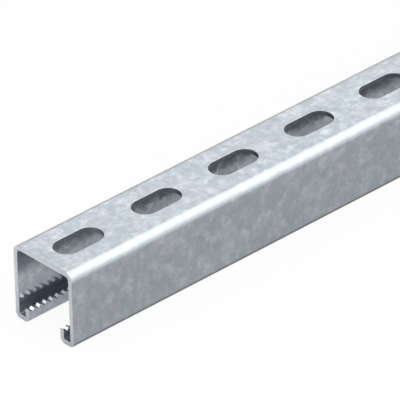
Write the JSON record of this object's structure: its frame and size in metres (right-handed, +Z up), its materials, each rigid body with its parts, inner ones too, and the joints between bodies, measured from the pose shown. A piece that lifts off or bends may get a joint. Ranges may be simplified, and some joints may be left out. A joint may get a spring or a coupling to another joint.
{
  "type": "strut channel",
  "caption": "Slotted C-section strut channel of galvanised sheet steel, with round-ended slots along its web and toothed, turned-in lips along its open side.",
  "frame": {"origin": "middle of the footprint, on the plane of the lips' undersides", "axes": "+X along the length, with the first slot 23 mm from the -X end; +Z up, from the open side to the slotted web; Y across the section"},
  "size_m": [1, 0.041, 0.041],
  "materials": {
    "galvanised_steel": "zinc-coated sheet, satin with faint spangle"
  },
  "bodies": {
    "root": {"strut_channel": "galvanised_steel"}
  },
  "joints": []
}
